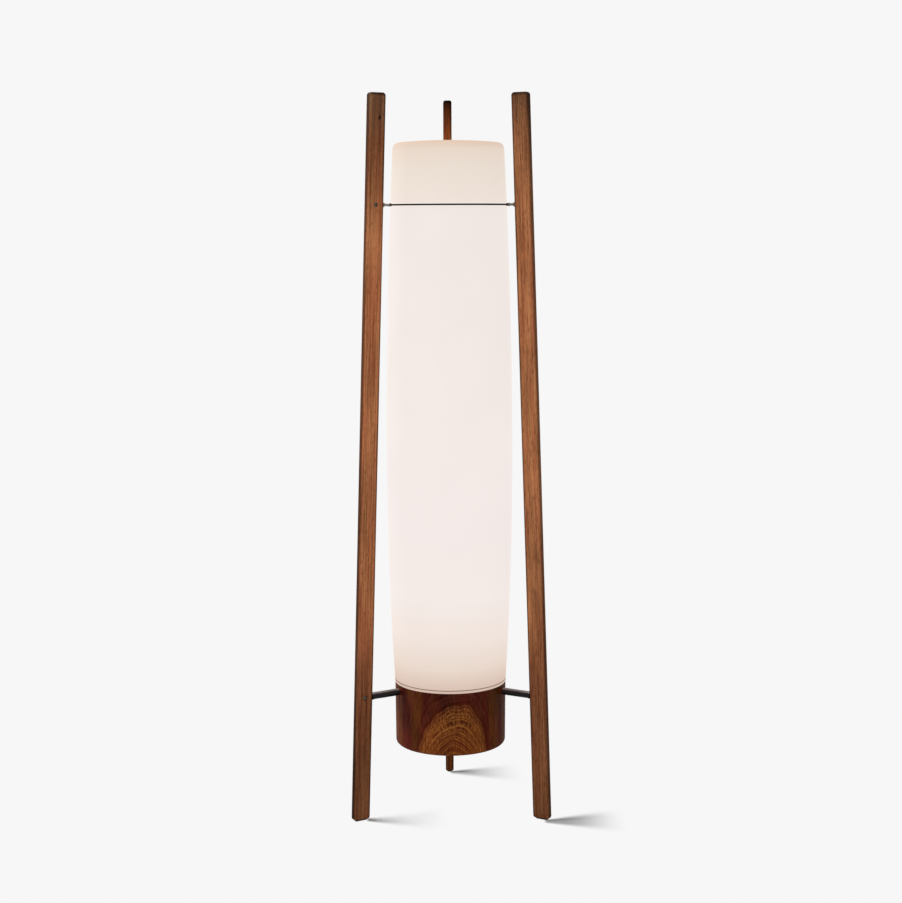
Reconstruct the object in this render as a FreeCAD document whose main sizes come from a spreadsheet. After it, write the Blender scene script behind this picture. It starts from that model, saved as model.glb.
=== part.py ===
import FreeCAD, Part
import Sketcher
import math
import os

# Andon floor lamp: an opal shade in a turned walnut cup, held between three leaning walnut boards.
# The origin is on the floor, on the lamp's axis. +Z is up, and the camera side of the lamp is -Y.
# Heights are measured from the floor and radii from the lamp's axis, in millimetres.

SIZES = {
    # Three boards stand round the axis, their wide faces in line with it
    "lamp_height": 1200.0,
    "leg_top_clearance": 27.1,
    "leg_splay": 42.9,
    "leg_width": 29.6,
    "leg_thickness": 14.2,
    "leg_edge_rounding": 3.6,
    "leg_corner_rounding": 5.0,
    "foot_pad_thickness": 1.5,
    # The walnut cup
    "cup_underside_height": 110.0,
    "cup_height": 108.0,
    "cup_end_space": 28.0,
    "cup_wall": 18.2,
    "cup_taper": 0.8,
    "cup_foot_rounding": 6.5,
    "cup_floor": 12.0,
    "spigot_height": 5.0,
    "spigot_clearance": 0.4,
    # The opal shade
    "shade_wall": 3.0,
    "shade_overhang": 0.4,
    "shade_lip_height": 4.0,
    "shade_groove_width": 1.4,
    "shade_groove_depth": 1.0,
    "shade_belly_radius": 105.7,
    "shade_belly_rise": 372.0,
    "shade_shoulder_radius": 91.4,
    "shade_top_drop": 73.2,
    "shade_crown_rise": 4.6,
    "shade_shoulder_rounding": 10.0,
    # The lower steel rods, one to each leg
    "rod_drop": 7.4,
    "rod_radius": 6.0,
    "rod_flange_radius": 6.6,
    "rod_flange_length": 3.0,
    "rod_tail_radius": 3.0,
    "rod_tenon_radius": 4.0,
    "rod_tenon_length": 22.0,
    "collar_length": 8.9,
    "collar_rounding": 0.6,
    "insert_radius": 4.5,
    "insert_backing": 8.6,
    "insert_inset": 0.6,
    # The upper ring and its stubs
    "ring_drop": 178.1,
    "ring_wire_radius": 1.3,
    "stub_reach": 13.81,
    "stub_eye_radius": 2.7,
    "stub_eye_length": 5.4,
    "stub_neck_radius": 2.0,
    "stub_root_radius": 5.2,
    "stub_root_length": 6.0,
    "stub_tenon_radius": 3.0,
    "stub_tenon_length": 20.0,
    # Cross screws through the boards
    "lower_screw_head_radius": 3.5,
    "lower_screw_head_height": 2.2,
    "lower_sink_radius": 4.3,
    "lower_sink_depth": 2.6,
    "lower_screw_shank_radius": 2.0,
    "upper_screw_head_radius": 3.2,
    "upper_screw_head_height": 1.8,
    "upper_sink_radius": 3.5,
    "upper_sink_depth": 2.0,
    "upper_screw_shank_radius": 1.5,
    "blind_wall": 2.2,
    # The chassis plate and what stands on it
    "plate_ledge": 8.0,
    "plate_thickness": 2.5,
    "plate_hole_radius": 6.0,
    "small_screw_head_radius": 2.8,
    "small_screw_head_height": 1.7,
    "small_screw_shank_radius": 1.5,
    "small_screw_length": 9.0,
    "screw_socket_depth": 1.2,
    "column_width": 25.0,
    "column_wall": 2.0,
    "column_top_gap": 37.8,
    "column_foot_width": 48.0,
    "column_foot_flange": 5.0,
    "column_socket_wall": 4.0,
    "column_socket_depth": 22.0,
    "column_foot_screw_circle": 20.2,
    "set_screw_radius": 2.0,
    "set_screw_height": 12.0,
    "cap_thickness": 3.0,
    "cap_plug_length": 10.0,
    "strip_width": 12.0,
    "strip_thickness": 1.6,
    "strip_end_gap": 6.0,
    # Inside the cup
    "driver_length": 82.0,
    "driver_width": 34.0,
    "driver_depth": 24.0,
    "driver_centre": 34.0,
    "driver_rounding": 2.0,
    "driver_flange_length": 7.0,
    "driver_flange_thickness": 2.5,
    "terminal_length": 30.0,
    "terminal_width": 17.0,
    "terminal_depth": 14.0,
    "terminal_centre": 32.0,
    "terminal_rounding": 1.2,
    "terminal_pitch": 9.0,
    "terminal_row": 5.2,
    "terminal_well_radius": 2.1,
    "terminal_well_depth": 6.0,
    # The cable gland in the cup's floor
    "gland_thread_radius": 6.0,
    "gland_bore_radius": 4.2,
    "gland_seal_bore_radius": 3.6,
    "gland_seal_length": 6.0,
    "gland_hex_radius": 9.0,
    "gland_flange_thickness": 4.0,
    "gland_stub_length": 7.0,
    "gland_nut_thickness": 4.0,
    "gland_dome_lip": 1.6,
    "gland_thread_past_nut": 2.0,
    # The lead from the driver into the light column
    "lead_radius": 1.9,
    "lead_exit_height": 14.4,
    "lead_reach": 20.5,
    "lead_turn_back": 4.1,
    "lead_turn_in": 20.4,
    "lead_rise": 36.2,
    "lead_drop": 25.2,
    # Clearances
    "fit": 0.1,
    "loose_fit": 0.3,
    "wood_screw_bite": 6.0,
    "overrun": 5.0,
}

FULL_TURN = 360.0
LEG_NAMES = ("back", "left", "right")
LEG_COUNT = len(LEG_NAMES)
FIRST_LEG_ANGLE = 90.0
SIDE_NAMES = ("front", "right", "back", "left")
FIRST_SIDE_ANGLE = 270.0
HEAD_FLAT_SHARE = 0.62
HEAD_BRIM_SHARE = 0.35
SOCKET_SHARE = 0.5
NEAR_SHARE = 0.01
HEXAGON_SIDES = 6
COLUMN_SCREW_COUNT = 4
DRIVER_SCREW_COUNT = 2
TERMINAL_WAYS = (-1, 0, 1)
END_RUN_SHARE = 0.9
MID_RUN_SHARE = 0.45


def spread_round(names, first_angle):
    """Equal angles from +X for pieces that stand round the axis, by name."""
    step = FULL_TURN / len(names)
    return {name: (first_angle + index * step) % FULL_TURN for index, name in enumerate(names)}


# The legs stand behind, at the front left and at the front right
LEGS = spread_round(LEG_NAMES, FIRST_LEG_ANGLE)
COLUMN_SIDES = spread_round(SIDE_NAMES, FIRST_SIDE_ANGLE)


class Size:
    """A length with its number, and with the expression that ties it to the sheet."""

    def __init__(self, number, text):
        self.number = float(number)
        self.text = text

    def __add__(self, other):
        other = as_size(other)
        return Size(self.number + other.number, "(%s + %s)" % (self.text, other.text))

    def __sub__(self, other):
        other = as_size(other)
        return Size(self.number - other.number, "(%s - %s)" % (self.text, other.text))

    def __mul__(self, other):
        other = as_size(other)
        return Size(self.number * other.number, "(%s * %s)" % (self.text, other.text))

    def __truediv__(self, other):
        other = as_size(other)
        return Size(self.number / other.number, "(%s / %s)" % (self.text, other.text))

    def __neg__(self):
        return Size(-self.number, "(-%s)" % self.text)


def as_size(value):
    """Take a plain factor as a size, so that the two can be mixed in a sum."""
    if isinstance(value, Size):
        return value
    return Size(value, "(%.9f)" % value)


class Sheet:
    """The spreadsheet of driving sizes. Each size is read as an attribute of its name."""

    def __init__(self, document, values):
        self.cells = document.addObject("Spreadsheet::Sheet", "Sizes")
        for row, (name, value) in enumerate(values.items(), 1):
            self.cells.set("A%d" % row, name)
            self.cells.set("B%d" % row, str(value))
            self.cells.setAlias("B%d" % row, name)
        document.recompute()

    def __getattr__(self, name):
        return Size(self.cells.get(name), "Sizes." + name)


doc = FreeCAD.newDocument("FloorLamp")
size = Sheet(doc, SIZES)
ZERO = as_size(0)
nodes = []


# Drawing helpers

def bind(thing, path, value):
    """Tie a property to the sheet."""
    thing.setExpression(path, as_size(value).text)


def origin_feature(body, role):
    for feature in body.Origin.OriginFeatures:
        if feature.Role == role:
            return feature
    raise ValueError("no origin feature " + role)


def new_body(label, turn=0.0, height=None):
    """Start a sub-part, turned about the lamp's axis and raised to its height."""
    body = doc.addObject("PartDesign::Body", label)
    body.Label = label
    body.Placement = FreeCAD.Placement(FreeCAD.Vector(), FreeCAD.Rotation(FreeCAD.Vector(0, 0, 1), turn))
    if height is not None:
        bind(body, "Placement.Base.z", height)
    nodes.append(body)
    return body


def measure(sketch, kind, first, first_end, second, second_end, value):
    """Add one distance between two points of a sketch, tied to the sheet."""
    value = as_size(value)
    constraint = Sketcher.Constraint(kind, first, first_end, second, second_end, value.number)
    index = sketch.addConstraint(constraint)
    bind(sketch, "Constraints[%d]" % index, value)


def fix_point(sketch, edge, end, x, y):
    """Hold one end of an edge at its distances from the sketch's origin."""
    if x is ZERO:
        sketch.addConstraint(Sketcher.Constraint("PointOnObject", edge, end, -2))
    else:
        measure(sketch, "DistanceX", -1, 1, edge, end, x)
    if y is ZERO:
        sketch.addConstraint(Sketcher.Constraint("PointOnObject", edge, end, -1))
    else:
        measure(sketch, "DistanceY", -1, 1, edge, end, y)


def draw_line(sketch, start, end):
    first = FreeCAD.Vector(start[0].number, start[1].number, 0)
    last = FreeCAD.Vector(end[0].number, end[1].number, 0)
    return sketch.addGeometry(Part.LineSegment(first, last), False), 1, 2


def draw_arc(sketch, start, end, centre_axis, centre_value):
    """Draw the arc between two points whose centre lies on a given line of the sketch."""
    x1, y1 = start[0].number, start[1].number
    x2, y2 = end[0].number, end[1].number
    known = centre_value.number
    if centre_axis == "x":
        cx = known
        cy = ((x1 - cx) ** 2 - (x2 - cx) ** 2 + y1 ** 2 - y2 ** 2) / (2 * (y1 - y2))
    else:
        cy = known
        cx = ((y1 - cy) ** 2 - (y2 - cy) ** 2 + x1 ** 2 - x2 ** 2) / (2 * (x1 - x2))
    circle = Part.Circle(FreeCAD.Vector(cx, cy, 0), FreeCAD.Vector(0, 0, 1), math.hypot(x1 - cx, y1 - cy))
    angle1 = math.atan2(y1 - cy, x1 - cx)
    angle2 = math.atan2(y2 - cy, x2 - cx)
    forward = (angle2 - angle1) % (2 * math.pi) < math.pi
    ends = (1, 2) if forward else (2, 1)
    if not forward:
        angle1, angle2 = angle2, angle1
    if angle2 < angle1:
        angle2 += 2 * math.pi
    edge = sketch.addGeometry(Part.ArcOfCircle(circle, angle1, angle2), False)
    if centre_value is ZERO:
        sketch.addConstraint(Sketcher.Constraint("PointOnObject", edge, 3, -2 if centre_axis == "x" else -1))
    elif centre_axis == "x":
        measure(sketch, "DistanceX", -1, 1, edge, 3, centre_value)
    else:
        measure(sketch, "DistanceY", -1, 1, edge, 3, centre_value)
    return edge, ends[0], ends[1]


def outline(body, role, corners, offset=None):
    """Draw a closed outline on one of the body's planes.

    A corner is (x, y), reached by a line, or (x, y, "x" or "y", value), reached by an arc whose centre
    has that x or y. The outline closes itself, and all of it is tied to the sheet.
    """
    sketch = body.newObject("Sketcher::SketchObject", body.Label + "_outline")
    sketch.AttachmentSupport = [(origin_feature(body, role), "")]
    sketch.MapMode = "FlatFace"
    if offset is not None:
        bind(sketch, "AttachmentOffset.Base.z", offset)
    drawn = []
    for index, corner in enumerate(corners):
        if len(corner) == 2:
            drawn.append(draw_line(sketch, corners[index - 1], corner))
        else:
            drawn.append(draw_arc(sketch, corners[index - 1], corner, corner[2], corner[3]))
    for index, (edge, first, last) in enumerate(drawn):
        following, its_first, its_last = drawn[(index + 1) % len(drawn)]
        sketch.addConstraint(Sketcher.Constraint("Coincident", edge, last, following, its_first))
        fix_point(sketch, edge, last, corners[index][0], corners[index][1])
    return sketch


def turning_line(sketch, direction, place):
    """Draw a construction line to turn a profile about, upright at x = place or level at y = place."""
    reach = size.overrun
    if direction == "upright":
        ends = ((place, ZERO), (place, reach))
    else:
        ends = ((ZERO, place), (reach, place))
    first = FreeCAD.Vector(ends[0][0].number, ends[0][1].number, 0)
    last = FreeCAD.Vector(ends[1][0].number, ends[1][1].number, 0)
    edge = sketch.addGeometry(Part.LineSegment(first, last), True)
    fix_point(sketch, edge, 1, ends[0][0], ends[0][1])
    fix_point(sketch, edge, 2, ends[1][0], ends[1][1])


def turn(body, role, corners, direction="upright", place=ZERO, offset=None, cut=False):
    """Turn an outline about an upright or level line, to add a round solid or cut a round hole."""
    sketch = outline(body, role, corners, offset)
    if place is ZERO:
        axis = "V_Axis" if direction == "upright" else "H_Axis"
    else:
        turning_line(sketch, direction, place)
        axis = "Axis0"
    before = body.Shape.Volume if cut else 0
    kind = "PartDesign::Groove" if cut else "PartDesign::Revolution"
    feature = body.newObject(kind, body.Label + "_turned")
    feature.Profile = sketch
    feature.ReferenceAxis = (sketch, [axis])
    feature.Angle = 360
    doc.recompute()
    if cut and not body.Shape.Volume < before:
        raise ValueError(body.Label + ": a round cut took nothing away")
    return feature


def pad(body, role, corners, length, offset=None, symmetric=False):
    """Raise an outline to a length."""
    feature = body.newObject("PartDesign::Pad", body.Label + "_pad")
    feature.Profile = outline(body, role, corners, offset)
    if symmetric:
        feature.SideType = "Symmetric"
    bind(feature, "Length", length)
    doc.recompute()
    return feature


def pocket(body, role, corners, length, offset=None):
    """Sink an outline by a length, against the plane's own direction."""
    before = body.Shape.Volume
    feature = body.newObject("PartDesign::Pocket", body.Label + "_pocket")
    feature.Profile = outline(body, role, corners, offset)
    bind(feature, "Length", length)
    doc.recompute()
    if not body.Shape.Volume < before:
        raise ValueError(body.Label + ": a pocket took nothing away")
    return feature


def soften(body, radius, wanted):
    """Round the edges of the body that a test picks."""
    base = body.Tip
    names = ["Edge%d" % index for index, edge in enumerate(base.Shape.Edges, 1) if wanted(edge)]
    if not names:
        raise ValueError(body.Label + ": no edge to round")
    feature = body.newObject("PartDesign::Fillet", body.Label + "_rounding")
    feature.Base = (base, names)
    bind(feature, "Radius", radius)
    doc.recompute()
    return feature


def repeat_round(body, features, count):
    """Repeat features round the upright axis, as separate solids where they don't meet."""
    body.AllowCompound = True
    pattern = body.newObject("PartDesign::PolarPattern", body.Label + "_pattern")
    pattern.Originals = features
    pattern.Axis = (origin_feature(body, "Z_Axis"), [""])
    pattern.Angle = 360
    pattern.Occurrences = count
    body.Tip = pattern
    doc.recompute()
    return pattern


def near(value, wanted):
    """Tell whether a measured number is a size, to a small share of the finest clearance."""
    return abs(value - wanted.number) < size.fit.number * NEAR_SHARE


def rectangle(x1, y1, x2, y2):
    return [(x1, y1), (x2, y1), (x2, y2), (x1, y2)]


def square(width):
    return rectangle(-width / 2, -width / 2, width / 2, width / 2)


def hexagon(radius, middle=ZERO):
    """Corners of a hexagon round a point on the sketch's x axis, with two flats along that axis."""
    corners = []
    for index in range(HEXAGON_SIDES):
        angle = 2 * math.pi * index / HEXAGON_SIDES
        y = ZERO if index * 2 % HEXAGON_SIDES == 0 else radius * math.sin(angle)
        corners.append((middle + radius * math.cos(angle), y))
    return corners


def upright_screws(body, circle, seat, length, count):
    """Button screws that point down, on a circle round the body's own axis."""
    profile = screw_profile(circle, seat, size.small_screw_head_radius, size.small_screw_head_height,
                            size.small_screw_shank_radius, seat - length)
    screw = turn(body, "XZ_Plane", profile, "upright", circle)
    key = pocket(body, "XY_Plane", hexagon(size.small_screw_head_radius * SOCKET_SHARE, circle),
                 size.screw_socket_depth, offset=seat + size.small_screw_head_height)
    if count > 1:
        repeat_round(body, [screw, key], count)


def upright_hole(body, circle, bottom, top, offset=None):
    """A round hole for a small screw."""
    wide = circle + size.small_screw_shank_radius + size.fit
    return turn(body, "XZ_Plane", rectangle(circle, bottom, wide, top), "upright", circle, offset, cut=True)


def screw_profile(x, seat, head_radius, head_height, shank_radius, end):
    """Half of a button screw that points down the sketch's y axis, with its head on a seat."""
    crown = x + head_radius * HEAD_FLAT_SHARE
    return [
        (x, end),
        (x + shank_radius, end),
        (x + shank_radius, seat),
        (x + head_radius, seat),
        (x + head_radius, seat + head_height * HEAD_BRIM_SHARE),
        (crown, seat + head_height, "x", crown),
        (x, seat + head_height),
    ]


# Places that several pieces share

def leg_radius(height):
    """Distance of a board's middle line from the lamp's axis, which falls as the board leans in."""
    return leg_radius_floor - size.leg_splay * height / size.lamp_height


def leg_inner_face(height):
    return leg_radius(height) - size.leg_width / 2


leg_radius_top = size.shade_shoulder_radius + size.leg_top_clearance + size.leg_width / 2
leg_radius_floor = leg_radius_top + size.leg_splay
cup_bore_radius = size.driver_length / 2 + size.driver_flange_length + size.cup_end_space
cup_rim_radius = cup_bore_radius + size.cup_wall
cup_foot_radius = cup_rim_radius - size.cup_taper
shade_foot_radius = cup_rim_radius + size.shade_overhang
plate_radius = cup_bore_radius + size.plate_ledge
plate_screw_circle = cup_bore_radius + size.plate_ledge / 2
cup_floor_height = size.cup_underside_height + size.cup_floor
rim_height = size.cup_underside_height + size.cup_height
rod_height = rim_height - size.rod_drop
ring_height = size.lamp_height - size.ring_drop
shade_belly = rim_height + size.shade_belly_rise
shade_top = size.lamp_height - size.shade_top_drop
shade_shoulder = shade_top - size.shade_crown_rise
spigot_top = rim_height + size.spigot_height
spigot_radius = shade_foot_radius - size.shade_wall - size.spigot_clearance
plate_bottom = spigot_top - size.plate_thickness
insert_outer_end = cup_rim_radius - size.insert_inset
collar_outer_end = insert_outer_end + size.collar_length
insert_inner_end = cup_bore_radius + size.insert_backing
rod_shoulder = leg_inner_face(rod_height + size.rod_flange_radius)
ring_radius = leg_inner_face(ring_height) - size.stub_reach
stub_shoulder = leg_inner_face(ring_height + size.stub_root_radius)
rod_tenon_end = rod_shoulder + size.rod_tenon_length
stub_tenon_end = stub_shoulder + size.stub_tenon_length
chassis_screw_end = spigot_top - size.small_screw_length
column_bottom = spigot_top + size.column_foot_flange
column_foot_top = column_bottom + size.column_socket_depth
column_top = shade_top - size.column_top_gap - size.cap_thickness
column_length = column_top - column_bottom
driver_screw_place = (size.driver_length + size.driver_flange_length) / 2


# Stand

def make_leg(name, angle):
    """A board with a hole for the rod's tenon, one for the stub's, and a stepped hole across each."""
    body = new_body("leg_" + name, angle)
    foot = size.foot_pad_thickness
    half = size.leg_width / 2
    corners = [
        (leg_radius(foot) + half, foot),
        (leg_radius(foot) - half, foot),
        (leg_radius_top - half, size.lamp_height),
        (leg_radius_top + half, size.lamp_height),
    ]
    pad(body, "XZ_Plane", corners, size.leg_thickness, symmetric=True)
    soften(body, size.leg_corner_rounding, lambda edge: near(edge.BoundBox.YLength, size.leg_thickness))
    soften(body, size.leg_edge_rounding, lambda edge: near(abs(edge.CenterOfMass.y), size.leg_thickness / 2))
    tenon_hole(body, rod_height, size.rod_tenon_radius, rod_tenon_end)
    tenon_hole(body, ring_height, size.stub_tenon_radius, stub_tenon_end)
    cross_hole(body, rod_height, size.lower_screw_shank_radius, size.lower_sink_radius,
               size.lower_sink_depth)
    cross_hole(body, ring_height, size.upper_screw_shank_radius, size.upper_sink_radius,
               size.upper_sink_depth)


def tenon_hole(body, height, radius, tenon_end):
    """Bore a level hole into a board's inner edge, for a tenon that ends at a given radius."""
    start = leg_inner_face(height) - size.overrun
    end = tenon_end + size.loose_fit
    wide = height + radius + size.fit
    turn(body, "XZ_Plane", [(start, height), (end, height), (end, wide), (start, wide)],
         "level", height, cut=True)


def cross_hole(body, height, shank_radius, sink_radius, sink_depth):
    """Bore the stepped hole of a cross screw through a board's wide face, blind at the far face."""
    middle = leg_radius(height)
    face = size.leg_thickness / 2
    shank = middle + shank_radius + size.fit
    sink = middle + sink_radius
    corners = [
        (middle, size.blind_wall - face),
        (shank, size.blind_wall - face),
        (shank, face - sink_depth),
        (sink, face - sink_depth),
        (sink, face + size.overrun),
        (middle, face + size.overrun),
    ]
    turn(body, "XY_Plane", corners, "upright", middle, offset=height, cut=True)


def make_foot_pads():
    """Three thin felt pads under the boards."""
    body = new_body("foot_pads", FIRST_LEG_ANGLE)
    middle = leg_radius(ZERO)
    length = size.leg_width / 2 - size.leg_corner_rounding
    width = size.leg_thickness / 2 - size.leg_edge_rounding
    corners = rectangle(middle - length, -width, middle + length, width)
    feature = pad(body, "XY_Plane", corners, size.foot_pad_thickness)
    repeat_round(body, [feature], LEG_COUNT)


# Cup

def make_cup():
    """The turned cup, with a raised spigot inside the shade's foot and a ledge for the chassis plate."""
    body = new_body("base_cup", FIRST_LEG_ANGLE)
    under = size.cup_underside_height
    hole = size.gland_thread_radius + size.fit
    ledge = plate_radius + size.loose_fit
    foot_flat = cup_foot_radius - size.cup_foot_rounding
    corners = [
        (hole, under),
        (foot_flat, under),
        (cup_foot_radius, under + size.cup_foot_rounding, "x", foot_flat),
        (cup_rim_radius, rim_height),
        (spigot_radius, rim_height),
        (spigot_radius, spigot_top),
        (ledge, spigot_top),
        (ledge, plate_bottom),
        (cup_bore_radius, plate_bottom),
        (cup_bore_radius, cup_floor_height),
        (hole, cup_floor_height),
    ]
    turn(body, "XZ_Plane", corners)
    outside = cup_rim_radius + size.overrun
    insert_side = rod_height + size.insert_radius + size.fit
    collar_side = rod_height + size.rod_radius + size.fit
    insert = turn(body, "XZ_Plane", [
        (insert_inner_end - size.fit, rod_height),
        (insert_inner_end - size.fit, insert_side),
        (insert_outer_end, insert_side),
        (insert_outer_end, collar_side),
        (outside, collar_side),
        (outside, rod_height),
    ], "level", rod_height, cut=True)
    pilot = upright_hole(body, plate_screw_circle, chassis_screw_end - size.fit,
                         plate_bottom + size.overrun)
    repeat_round(body, [insert, pilot], LEG_COUNT)
    deep = cup_floor_height - size.wood_screw_bite - size.fit
    for side in (driver_screw_place, -driver_screw_place):
        upright_hole(body, size.driver_centre, deep, cup_floor_height + size.overrun, side)
    upright_hole(body, -size.terminal_centre, deep, cup_floor_height + size.overrun)


def make_collars():
    """Three short walnut collars, one on each rod's tail where it meets the cup."""
    body = new_body("rod_collars", FIRST_LEG_ANGLE, rod_height)
    bore = size.rod_tail_radius + size.fit
    corners = rectangle(insert_outer_end, bore, collar_outer_end, size.rod_radius)
    tube = turn(body, "XZ_Plane", corners, "level")
    rounding = soften(body, size.collar_rounding, lambda edge: near(edge.CenterOfMass.x, collar_outer_end)
                      and near(edge.BoundBox.ZMax, size.rod_radius))
    repeat_round(body, [tube, rounding], LEG_COUNT)


def make_inserts():
    """Three brass threaded inserts in the cup's wall."""
    body = new_body("rod_inserts", FIRST_LEG_ANGLE, rod_height)
    bore = size.rod_tail_radius + size.fit / 2
    corners = rectangle(insert_inner_end, bore, insert_outer_end, size.insert_radius)
    repeat_round(body, [turn(body, "XZ_Plane", corners, "level")], LEG_COUNT)


def make_rod(name, angle):
    """A round steel rod: a tail in the cup's insert, a flange at the board and a tenon inside it."""
    body = new_body("rod_" + name, angle, rod_height)
    tail_end = insert_inner_end + size.loose_fit
    flange = rod_shoulder - size.rod_flange_length
    corners = [
        (tail_end, ZERO),
        (tail_end, size.rod_tail_radius),
        (collar_outer_end, size.rod_tail_radius),
        (collar_outer_end, size.rod_radius),
        (flange, size.rod_radius),
        (flange, size.rod_flange_radius),
        (rod_shoulder, size.rod_flange_radius),
        (rod_shoulder, size.rod_tenon_radius),
        (rod_tenon_end, size.rod_tenon_radius),
        (rod_tenon_end, ZERO),
    ]
    turn(body, "XZ_Plane", corners, "level")
    screw_eye(body, leg_radius(rod_height), size.rod_tenon_radius, size.lower_screw_shank_radius)


def screw_eye(body, middle, tenon_radius, shank_radius):
    """Drill a tenon across for its cross screw."""
    reach = tenon_radius + size.overrun
    corners = rectangle(middle, -reach, middle + shank_radius + size.fit, reach)
    turn(body, "XY_Plane", corners, "upright", middle, cut=True)


def make_cross_screws(label, height, head_radius, head_height, shank_radius, sink_depth):
    """Three button screws across the boards, with their heads sunk in the faces."""
    body = new_body(label, FIRST_LEG_ANGLE, height)
    middle = leg_radius(height)
    seat = size.leg_thickness / 2 - sink_depth
    end = size.blind_wall + size.loose_fit - size.leg_thickness / 2
    screw = turn(body, "XY_Plane", screw_profile(middle, seat, head_radius, head_height, shank_radius, end),
                 "upright", middle)
    key = pocket(body, "XZ_Plane", hexagon(head_radius * SOCKET_SHARE, middle), size.screw_socket_depth,
                 offset=-(seat + head_height - size.screw_socket_depth))
    repeat_round(body, [screw, key], LEG_COUNT)


# Upper ring

def make_ring():
    """The thin steel ring round the shade."""
    ring = doc.addObject("Part::Torus", "upper_ring")
    ring.Label = "upper_ring"
    bind(ring, "Radius1", ring_radius)
    bind(ring, "Radius2", size.ring_wire_radius)
    bind(ring, "Placement.Base.z", ring_height)
    nodes.append(ring)


def make_stub(name, angle):
    """A turned stub: an eye round the ring's wire, a neck, a flared root, and a tenon in the board."""
    body = new_body("stub_" + name, angle, ring_height)
    eye_start = ring_radius - size.stub_eye_length / 2
    eye_end = ring_radius + size.stub_eye_length / 2
    corners = [
        (eye_start, ZERO),
        (eye_start, size.stub_eye_radius),
        (eye_end, size.stub_eye_radius),
        (eye_end + size.stub_eye_radius - size.stub_neck_radius, size.stub_neck_radius),
        (stub_shoulder - size.stub_root_length, size.stub_neck_radius),
        (stub_shoulder, size.stub_root_radius),
        (stub_shoulder, size.stub_tenon_radius),
        (stub_tenon_end, size.stub_tenon_radius),
        (stub_tenon_end, ZERO),
    ]
    turn(body, "XZ_Plane", corners, "level")
    eye = body.newObject("PartDesign::SubtractiveTorus", body.Label + "_eye")
    eye.AttachmentSupport = [(origin_feature(body, "XY_Plane"), "")]
    eye.MapMode = "FlatFace"
    bind(eye, "Radius1", ring_radius)
    bind(eye, "Radius2", size.ring_wire_radius + size.fit / 2)
    doc.recompute()
    screw_eye(body, leg_radius(ring_height), size.stub_tenon_radius, size.upper_screw_shank_radius)


# Shade

def make_shade():
    """The opal shade: a closed, slightly barrel-shaped shell that stands on the cup's rim."""
    body = new_body("shade")
    rim = rim_height
    foot = shade_foot_radius
    wall = size.shade_wall
    belly = shade_belly
    groove = foot - size.shade_groove_depth
    lip = rim + size.shade_lip_height
    above = lip + size.shade_groove_width
    shoulder = size.shade_shoulder_radius
    corners = [
        (foot - wall, rim, "y", belly),
        (foot, rim),
        (foot, lip),
        (groove, lip),
        (groove, above),
        (foot, above),
        (size.shade_belly_radius, belly, "y", belly),
        (shoulder, shade_shoulder, "y", belly),
        (ZERO, shade_top, "x", ZERO),
        (ZERO, shade_top - wall),
        (shoulder - wall, shade_shoulder - wall, "x", ZERO),
        (size.shade_belly_radius - wall, belly, "y", belly),
    ]
    turn(body, "XZ_Plane", corners)
    outer = shade_shoulder
    soften(body, size.shade_shoulder_rounding, lambda edge: near(edge.BoundBox.ZMax, outer))
    soften(body, size.shade_shoulder_rounding - wall, lambda edge: near(edge.BoundBox.ZMax, outer - wall))


# Chassis and light column

def make_plate():
    """The aluminium chassis plate on the cup's ledge."""
    body = new_body("chassis_plate", FIRST_LEG_ANGLE)
    turn(body, "XZ_Plane", rectangle(size.plate_hole_radius, plate_bottom, plate_radius, spigot_top))
    above = spigot_top + size.overrun
    below = plate_bottom - size.overrun
    repeat_round(body, [upright_hole(body, plate_screw_circle, below, above)], LEG_COUNT)
    repeat_round(body, [upright_hole(body, size.column_foot_screw_circle, below, above)], COLUMN_SCREW_COUNT)


def make_chassis_screws():
    """The three screws that hold the plate down on the cup's ledge."""
    body = new_body("chassis_screws", FIRST_LEG_ANGLE)
    upright_screws(body, plate_screw_circle, spigot_top, size.small_screw_length, LEG_COUNT)


def make_column_foot():
    """A square block with a socket for the column, screwed down to the plate."""
    body = new_body("column_foot")
    outer = size.column_width + size.column_socket_wall * 2
    pad(body, "XY_Plane", square(size.column_foot_width), size.column_foot_flange, offset=spigot_top)
    pad(body, "XY_Plane", square(outer), size.column_socket_depth, offset=column_bottom)
    pocket(body, "XY_Plane", square(size.column_width + size.fit * 2), size.column_socket_depth,
           offset=column_foot_top)
    turn(body, "XZ_Plane", rectangle(ZERO, spigot_top - size.overrun, size.plate_hole_radius,
                                     column_bottom + size.fit), cut=True)
    height = column_bottom + size.set_screw_height
    turn(body, "YZ_Plane", rectangle(size.column_width / 2 - size.column_wall, height,
                                     outer / 2 + size.overrun, height + size.set_screw_radius + size.fit),
         "level", height, cut=True)
    hole = upright_hole(body, size.column_foot_screw_circle, spigot_top - size.overrun,
                        column_bottom + size.fit)
    repeat_round(body, [hole], COLUMN_SCREW_COUNT)


def make_column_foot_screws():
    """The four screws that hold the column's foot to the plate."""
    body = new_body("column_foot_screws")
    upright_screws(body, size.column_foot_screw_circle, column_bottom,
                   size.column_foot_flange + size.plate_thickness, COLUMN_SCREW_COUNT)


def make_set_screw():
    """The grub screw that holds the column in its foot, let into the back of the block."""
    body = new_body("column_set_screw")
    height = column_bottom + size.set_screw_height
    start = size.column_width / 2 + size.fit
    end = size.column_width / 2 + size.column_socket_wall
    turn(body, "YZ_Plane", rectangle(start, height, end, height + size.set_screw_radius), "level", height)


def make_column():
    """The square aluminium tube that carries the light strips."""
    body = new_body("led_column")
    pad(body, "XY_Plane", square(size.column_width), column_length, offset=column_bottom)
    pocket(body, "XY_Plane", square(size.column_width - size.column_wall * 2),
           column_length + size.overrun, offset=column_top)


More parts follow.
